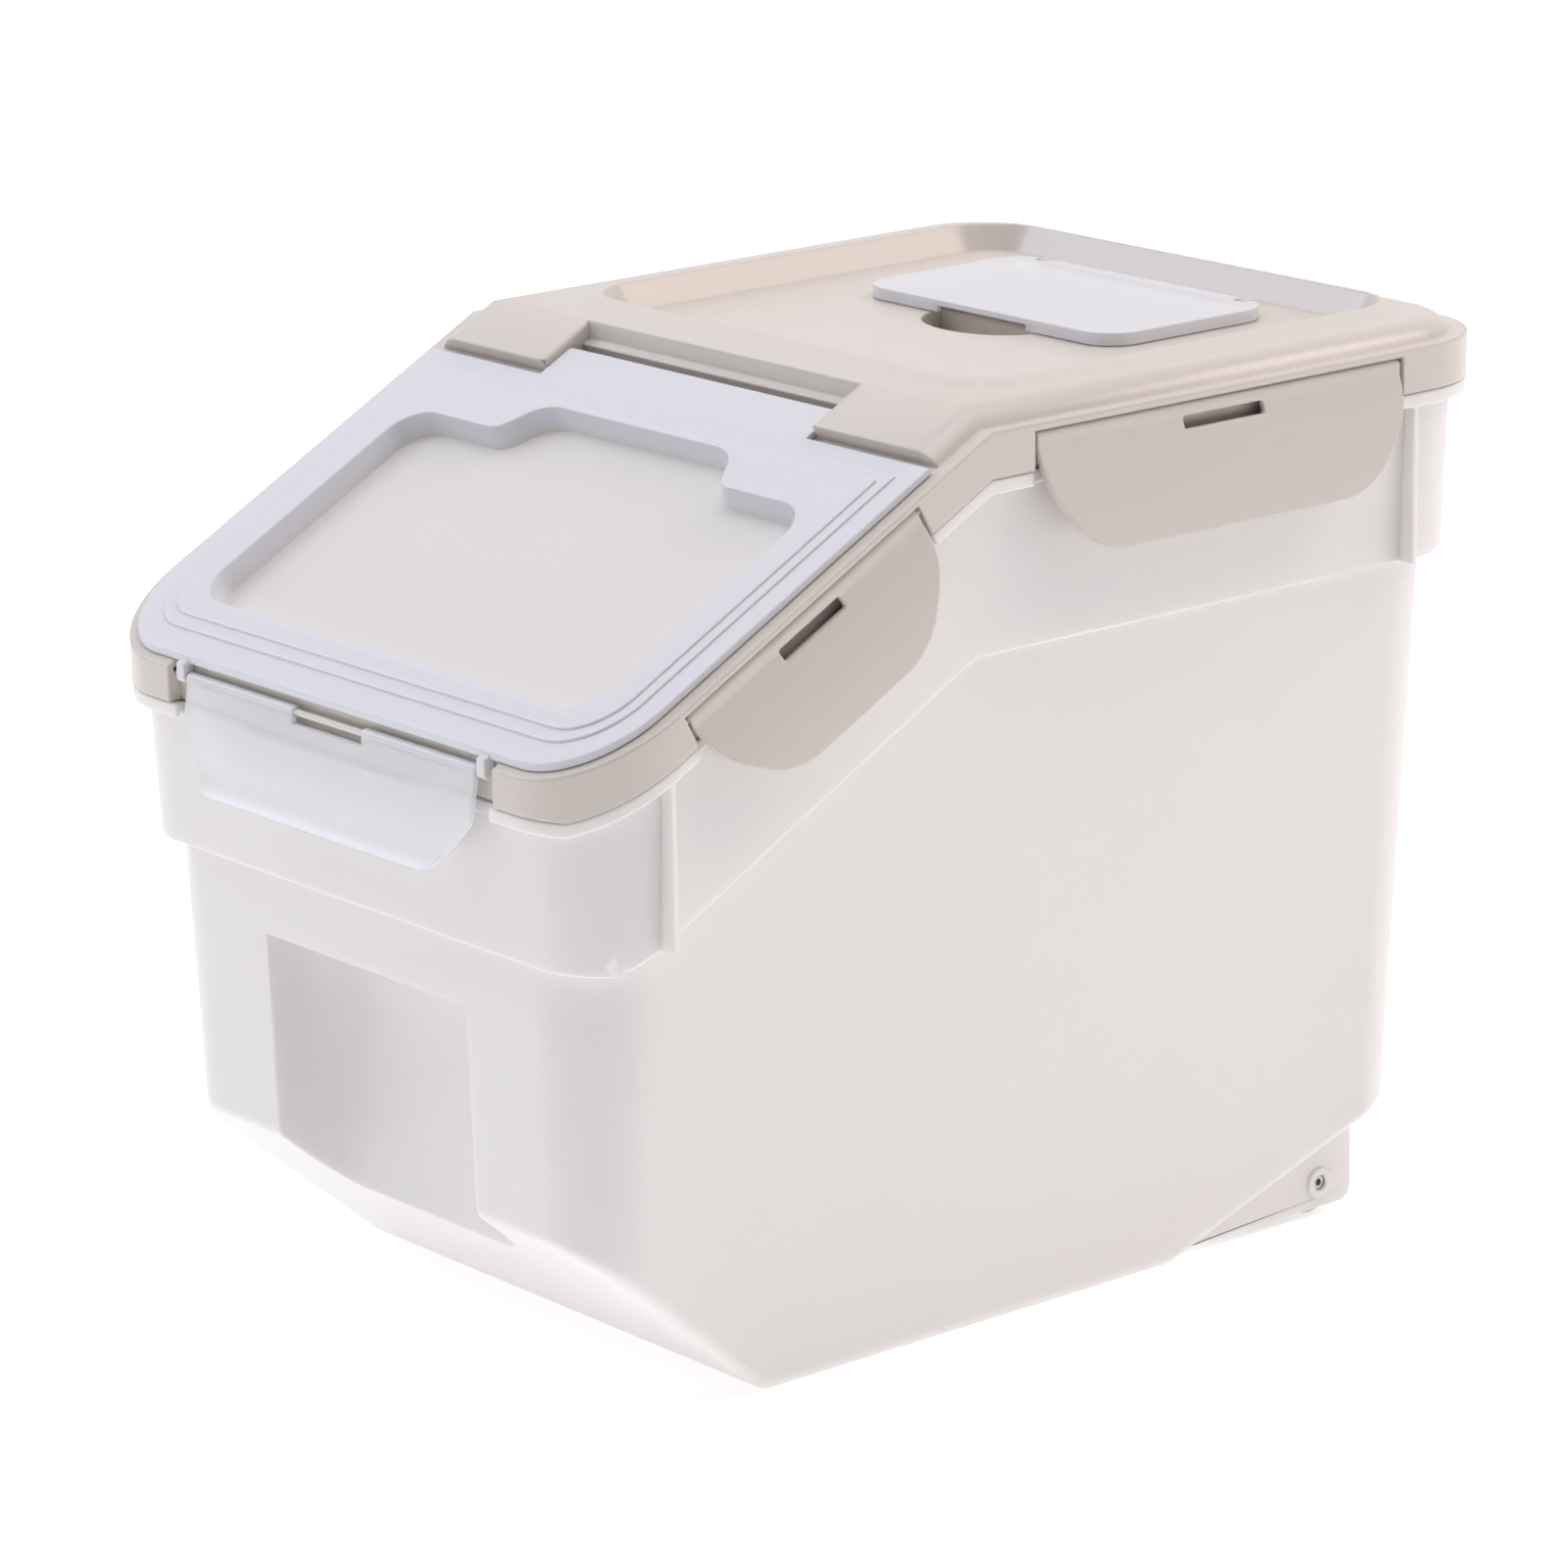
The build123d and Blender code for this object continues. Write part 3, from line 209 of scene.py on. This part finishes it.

# %% [markdown]
# The flap is the same plastic, but the mould is polished at the window, so more light
# passes there than through the grained border. The window's colour is also painted
# lighter and warmer than the border's: painted light that stands in for the lit inside
# of the bin seen through it and offsets the shade in the window's pocket. The window is
# the floor of a pocket that lies lower than the border, so the height above the slope
# tells them apart. That height is the point's dot product with the slope's normal, less
# the same for the hinge.

# %% Flap polypropylene
SLOPE_TILT = radians(28.2)
WINDOW_RISE = -2.4 * MM
BORDER_RISE = 0.4 * MM
WINDOW_CLEAR = 0.3
BORDER_CLEAR = 0.16
slope_normal = Vector((0.0, -sin(SLOPE_TILT), cos(SLOPE_TILT)))
joints = {joint["name"]: joint for joint in frame["record"]["behaviour"]["joints"]}
hinge_height = slope_normal.dot(Vector(joints["flap_hinge"]["pos_m"]))
flap_polypropylene = new_finish(
    "moulded_natural_polypropylene_window",
    {
        "Roughness": FROSTED_ROUGHNESS,
        "IOR": POLYPROPYLENE_IOR,
    },
    grain_mm=1.5,
    grain_depth_mm=0.003,
    edge_mm=0.8,
)
where = add_node(flap_polypropylene, "ShaderNodeTexCoord")
height = add_node(
    flap_polypropylene,
    "ShaderNodeVectorMath",
    {"operation": "DOT_PRODUCT"},
    {0: where.outputs["Object"]},
)
height.inputs[1].default_value = slope_normal
window = add_node(
    flap_polypropylene,
    "ShaderNodeMapRange",
    {
        "From Min": hinge_height + BORDER_RISE,
        "From Max": hinge_height + WINDOW_RISE,
        "To Min": 0.0,
        "To Max": 1.0,
    },
    {"Value": height.outputs["Value"]},
)
share = add_node(
    flap_polypropylene,
    "ShaderNodeMapRange",
    {"To Min": BORDER_CLEAR, "To Max": WINDOW_CLEAR},
    {"Value": window.outputs["Result"]},
)
# Painted light: the window's end of this ramp is lighter and warmer than the border's own
# colour, standing in for light from the bin's inside.
tint_with_painted_window_light = add_node(
    flap_polypropylene, "ShaderNodeValToRGB", None, {"Fac": window.outputs["Result"]}
)
tint_with_painted_window_light.color_ramp.elements[0].color = linear_colour("#eaeaf1")
tint_with_painted_window_light.color_ramp.elements[1].color = linear_colour("#f9f5f3")
tree = flap_polypropylene.node_tree
tree.links.new(share.outputs["Result"], tree.nodes["see_through"].inputs["Fac"])
tree.links.new(tint_with_painted_window_light.outputs["Color"], tree.nodes["surface"].inputs["Base Color"])
print("the window lies", round((BORDER_RISE - WINDOW_RISE) / MM, 2), "mm below the border")

# %% [markdown]
# The small parts: a moulded silicone seal is matt, the hinge rods are plain plastic
# wire with a soft shine, the pins are drawn steel and mirror the room softly, and the
# wheels are a harder moulded plastic that looks dull.

# %% Small parts
SILICONE_IOR = 1.41
WHEEL_PLASTIC_IOR = 1.52
silicone = new_finish(
    "moulded_silicone",
    {"Base Color": linear_colour("#e6e6e6"), "Roughness": 0.6, "IOR": SILICONE_IOR},
    grain_mm=1.0,
    grain_depth_mm=0.004,
)
rod_plastic = new_finish(
    "extruded_plastic_rod",
    {"Base Color": linear_colour("#ddd8d4"), "Roughness": 0.4, "IOR": POLYPROPYLENE_IOR},
    grain_mm=0.8,
    grain_depth_mm=0.002,
)
drawn_steel = new_finish(
    "drawn_steel",
    {"Base Color": linear_colour("#b9b6b2"), "Roughness": 0.3, "Metallic": 1.0},
    grain_mm=0.5,
    grain_depth_mm=0.002,
)
wheel_plastic = new_finish(
    "moulded_wheel_plastic",
    {"Base Color": linear_colour("#cfc9c2"), "Roughness": 0.5, "IOR": WHEEL_PLASTIC_IOR},
    grain_mm=0.8,
    grain_depth_mm=0.006,
)
print("small finishes", silicone.name, rod_plastic.name, drawn_steel.name, wheel_plastic.name)

# %% [markdown]
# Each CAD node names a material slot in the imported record. The finish follows the slot,
# so the two never drift apart. Two frosted pieces have a finish of their own.

# %% Give every node its finish
finish_of_slot = {
    "white_polypropylene": white_polypropylene,
    "beige_polypropylene": beige_polypropylene,
    "frosted_polypropylene": frosted_polypropylene,
    "silicone_seal": silicone,
    "hinge_rod": rod_plastic,
    "steel_pin": drawn_steel,
    "wheel_plastic": wheel_plastic,
}
slot_of_node = {part["node"]: part["material_slot"] for part in frame["record"]["subparts"]}
finish_of_node = {"flip_lid": flap_polypropylene, "front_latch": thin_polypropylene}
for name, node in nodes.items():
    node.data.materials.clear()
    node.data.materials.append(finish_of_node.get(name, finish_of_slot[slot_of_node[name]]))
print("dressed", len(nodes), "nodes")

# %% [markdown]
# No moulded edge is sharp. The rounding is narrow where a piece has thin knuckles with a
# bore, so that the roundings of two rims don't meet, and the finish softens the shading
# of its edges further.

# %% Widths of the moulded edges
WIDE_EDGE = 0.6 * MM
NARROW_EDGE = 0.35 * MM
FRAME_EDGE = 0.3 * MM
edge_width_of_node = {
    "tub": WIDE_EDGE,
    "lid_frame": FRAME_EDGE,
    "flip_lid": NARROW_EDGE,
    "front_latch": NARROW_EDGE,
    "repellent_box": NARROW_EDGE,
    "repellent_box_cap": NARROW_EDGE,
}
for name in nodes:
    if name.startswith("side_latch") and "rod" not in name:
        edge_width_of_node[name] = NARROW_EDGE
body_of_node = {
    name: body
    for body, held in frame["record"]["behaviour"]["bodies"].items()
    for name in held
}
print("edges are rounded on", len(edge_width_of_node), "nodes")

# %% [markdown]
# The CAD meshes stay as they are. A copy of each is merged at its corners, and its flat
# faces are joined again, so that only true edges are left to round.


# %% Merged copy of a node
MERGE_DISTANCE = 0.001 * MM
FLAT_TURN = radians(0.5)


def merged_shape(node_name):
    """A node's loose triangles joined at their corners, and its flat faces made whole."""
    shape = bmesh.new()
    shape.from_mesh(nodes[node_name].data)
    bmesh.ops.remove_doubles(shape, verts=shape.verts, dist=MERGE_DISTANCE)
    bmesh.ops.dissolve_limit(
        shape, angle_limit=FLAT_TURN, verts=shape.verts, edges=shape.edges
    )
    return shape


# %% [markdown]
# The front latch's foot curls outwards into a lip for the fingertips. The foot is first
# cut into level bands, so that it has corners to bend at.


# %% Finger lip
LIP_HEIGHT = 8.0 * MM
LIP_REACH = 3.6 * MM
LIP_BANDS = 8


def curl_foot(shape):
    """Curl a latch's foot outwards into a finger lip: y -= reach * (depth / height)^2."""
    foot = min(vertex.co.z for vertex in shape.verts)
    for level in np.linspace(foot, foot + LIP_HEIGHT, LIP_BANDS, endpoint=False)[1:]:
        whole = shape.verts[:] + shape.edges[:] + shape.faces[:]
        bmesh.ops.bisect_plane(shape, geom=whole, plane_co=(0, 0, level), plane_no=(0, 0, 1))
    for vertex in shape.verts:
        depth = max(foot + LIP_HEIGHT - vertex.co.z, 0) / LIP_HEIGHT
        vertex.co.y -= LIP_REACH * depth**2


# %% [markdown]
# Each outer edge that turns by more than 30 degrees is rounded. One that ends where more
# than three such edges meet stays as it is, because the rounding would fold over there.


# %% Choice of edges
EDGE_TURN = radians(30)
MOST_EDGES_AT_A_CORNER = 3


def mark_outer_edges(shape):
    """Give each outer edge that is to be rounded a bevel weight of one; return their count."""
    weight = shape.edges.layers.float.new("bevel_weight_edge")
    turning = {
        edge
        for edge in shape.edges
        if edge.is_manifold and edge.calc_face_angle(0) > EDGE_TURN
    }
    marked = [
        edge
        for edge in turning
        if edge.is_convex
        and all(
            sum(other in turning for other in vertex.link_edges) <= MOST_EDGES_AT_A_CORNER
            for vertex in edge.verts
        )
    ]
    for edge in marked:
        edge[weight] = 1.0
    return len(marked)


# %% [markdown]
# Each rounded copy takes its node's place: it rides on the same body, has the same finish
# and slot, and hides the CAD node.

# %% Rounded copies
EDGE_SEGMENTS = 2
for name, width in edge_width_of_node.items():
    shape = merged_shape(name)
    if name == "front_latch":
        curl_foot(shape)
    count = mark_outer_edges(shape)
    mesh = bpy.data.meshes.new(name + "_moulded")
    shape.to_mesh(mesh)
    shape.free()
    if "custom_normal" in mesh.attributes:
        mesh.attributes.remove(mesh.attributes["custom_normal"])
    mesh.shade_smooth()
    mesh.set_sharp_from_angle(angle=EDGE_TURN)
    mesh.materials.append(nodes[name].data.materials[0])
    piece = bpy.data.objects.new(name + "_moulded", mesh)
    bpy.context.scene.collection.objects.link(piece)
    rounding = piece.modifiers.new("moulded_edge", "BEVEL")
    rounding.limit_method = "WEIGHT"
    rounding.width = width
    rounding.segments = EDGE_SEGMENTS
    rounding.use_clamp_overlap = False
    rounding.harden_normals = True
    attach(piece, body_of_node[name])
    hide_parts(name)
    print(piece.name, "has", count, "rounded edges")

# %% [markdown]
# The bin stands on a plain pale floor that runs out of the picture. The photograph's
# ground is pure white and throws light up under the sloping front, as a light table
# does, so the floor gives some light of its own and still keeps the bin's soft shadow.

# %% Floor
FLOOR_HALF = 6.0
FLOOR_GLOW = 0.45
PURE_WHITE = (1.0, 1.0, 1.0, 1.0)


def flat_floor(name, half):
    """A level square: x = u*half, y = v*half, z = 0, with u and v from -1 to 1."""
    u, v = np.meshgrid(np.linspace(-1, 1, 2), np.linspace(-1, 1, 2))
    points = np.stack([u.ravel() * half, v.ravel() * half, np.zeros(u.size)], axis=1)
    mesh = bpy.data.meshes.new(name)
    mesh.from_pydata(points.tolist(), [], [(0, 1, 3, 2)])
    floor = bpy.data.objects.new(name, mesh)
    bpy.context.scene.collection.objects.link(floor)
    return floor


floor_finish = bpy.data.materials.new("white_light_table")
floor_finish.use_nodes = True
floor_finish.node_tree.nodes.clear()
floor_surface = add_node(
    floor_finish,
    "ShaderNodeBsdfPrincipled",
    {
        "Base Color": linear_colour("#f4f4f4"),
        "Roughness": 0.9,
        "Emission Color": PURE_WHITE,
        "Emission Strength": FLOOR_GLOW,
    },
)
add_node(
    floor_finish,
    "ShaderNodeOutputMaterial",
    None,
    {"Surface": floor_surface.outputs["BSDF"]},
)
floor = flat_floor("studio_floor", FLOOR_HALF)
floor.data.materials.append(floor_finish)
print("the floor reaches", FLOOR_HALF, "m each way")

# %% [markdown]
# The world is the soft fill of the studio. Straight lines of sight, and those that pass
# through the clear share of the frosted pieces, see it as plain white. The room is
# darker where the camera stands, on the front right, and that is what shades the bin's
# rounded front corner between its two bright sides. The shade follows the dot product of
# the sky's direction with the level direction towards the camera.

# %% World
CAMERA_AZIMUTH = radians(50.4014696)
FILL_STRENGTH = 0.76
ROOM_SHADE = 0.9
SHADE_BEGINS = 0.1
SHADE_IS_FULL = 0.8
world = bpy.data.worlds.new("white_studio")
bpy.context.scene.world = world
world.use_nodes = True
world.node_tree.nodes.clear()
sky = add_node(world, "ShaderNodeTexCoord")
towards_camera = add_node(
    world, "ShaderNodeVectorMath", {"operation": "DOT_PRODUCT"}, {0: sky.outputs["Generated"]}
)
towards_camera.inputs[1].default_value = (sin(CAMERA_AZIMUTH), -cos(CAMERA_AZIMUTH), 0.0)
strength = add_node(
    world,
    "ShaderNodeMapRange",
    {
        "interpolation_type": "SMOOTHSTEP",
        "From Min": SHADE_BEGINS,
        "From Max": SHADE_IS_FULL,
        "To Min": FILL_STRENGTH,
        "To Max": FILL_STRENGTH * (1 - ROOM_SHADE),
    },
    {"Value": towards_camera.outputs["Value"]},
)
ray = add_node(world, "ShaderNodeLightPath")
seen_as_white = add_node(
    world,
    "ShaderNodeMath",
    {"operation": "MAXIMUM"},
    {0: ray.outputs["Is Camera Ray"], 1: ray.outputs["Is Transmission Ray"]},
)
fill = add_node(
    world,
    "ShaderNodeBackground",
    {"Color": PURE_WHITE},
    {"Strength": strength.outputs["Result"]},
)
white = add_node(world, "ShaderNodeBackground", {"Color": PURE_WHITE, "Strength": 1.0})
both = add_node(
    world,
    "ShaderNodeMixShader",
    None,
    {0: seen_as_white.outputs[0], 1: fill.outputs[0], 2: white.outputs[0]},
)
add_node(world, "ShaderNodeOutputWorld", None, {"Surface": both.outputs[0]})
print("the fill is", FILL_STRENGTH, "and the shade takes", ROOM_SHADE, "of it")

# %% [markdown]
# Three soft lamps shape the bin, each aimed at its middle. The cool front lamp and the
# warm side lamp stand where the rounded edges mirror them towards the camera, which gives
# the thin bright lines along the lid, and a broad one hangs overhead.

# %% Lamps
BIN_MIDDLE = Vector((0.0, 0.0, 150 * MM))


def soft_lamp(name, azimuth, elevation, distance, size, power, hex_code):
    """A square area lamp on a sphere round the bin: azimuth from -Y towards +X, in degrees."""
    turn, lift = radians(azimuth), radians(elevation)
    away = Vector((sin(turn) * cos(lift), -cos(turn) * cos(lift), sin(lift)))
    data = bpy.data.lights.new(name, "AREA")
    data.size = size
    data.energy = power
    data.color = linear_colour(hex_code)[:3]
    lamp = bpy.data.objects.new(name, data)
    bpy.context.scene.collection.objects.link(lamp)
    lamp.location = BIN_MIDDLE + away * distance
    lamp.rotation_euler = away.to_track_quat("Z", "Y").to_euler()
    print(name, "at", [round(value, 3) for value in lamp.location], "gives", power, "W")


soft_lamp(
    "front_lamp",
    azimuth=-68,
    elevation=36,
    distance=2.2,
    size=0.8,
    power=9.6,
    hex_code="#dfe5ff",
)
soft_lamp(
    "side_lamp",
    azimuth=150,
    elevation=45,
    distance=2.2,
    size=0.8,
    power=11.5,
    hex_code="#ffe9e0",
)
soft_lamp(
    "top_lamp",
    azimuth=60,
    elevation=84,
    distance=2.0,
    size=1.4,
    power=14.0,
    hex_code="#fbfbff",
)

# %% [markdown]
# The camera was worked out from the bin's own right angles in the photograph: a long lens
# from the front right, a little above the lid. Roll and a small sideways step put the bin
# where it stands in the frame.

# %% Camera
CAMERA_ELEVATION = radians(15.5586589)
CAMERA_ROLL = radians(-0.911733481)
CAMERA_DISTANCE = 2033.64794 * MM
CAMERA_STEP_RIGHT = -7.43081585 * MM
CAMERA_STEP_UP = -0.23989766 * MM
FOCAL_PIXELS = 6595.21049
IMAGE_PIXELS = 1600.0
SENSOR_WIDTH = 36.0
CLIP_FAR = 50.0

back = Vector(
    (
        sin(CAMERA_AZIMUTH) * cos(CAMERA_ELEVATION),
        -cos(CAMERA_AZIMUTH) * cos(CAMERA_ELEVATION),
        sin(CAMERA_ELEVATION),
    )
)
level_right = Vector((cos(CAMERA_AZIMUTH), sin(CAMERA_AZIMUTH), 0.0))
level_up = back.cross(level_right)
right = level_right * cos(CAMERA_ROLL) + level_up * sin(CAMERA_ROLL)
up = level_up * cos(CAMERA_ROLL) - level_right * sin(CAMERA_ROLL)
stand = BIN_MIDDLE + back * CAMERA_DISTANCE + right * CAMERA_STEP_RIGHT + up * CAMERA_STEP_UP
camera_data = bpy.data.cameras.new("photo_camera")
camera_data.sensor_width = SENSOR_WIDTH
camera_data.lens = FOCAL_PIXELS / IMAGE_PIXELS * SENSOR_WIDTH
camera_data.clip_end = CLIP_FAR
camera = bpy.data.objects.new("photo_camera", camera_data)
bpy.context.scene.collection.objects.link(camera)
camera.matrix_world = Matrix.Translation(stand) @ Matrix((right, up, back)).transposed().to_4x4()
bpy.context.scene.camera = camera
print("lens", round(camera_data.lens, 2), "mm, camera at", [round(value, 4) for value in stand])

bpy.context.scene.view_settings.view_transform = "Standard"
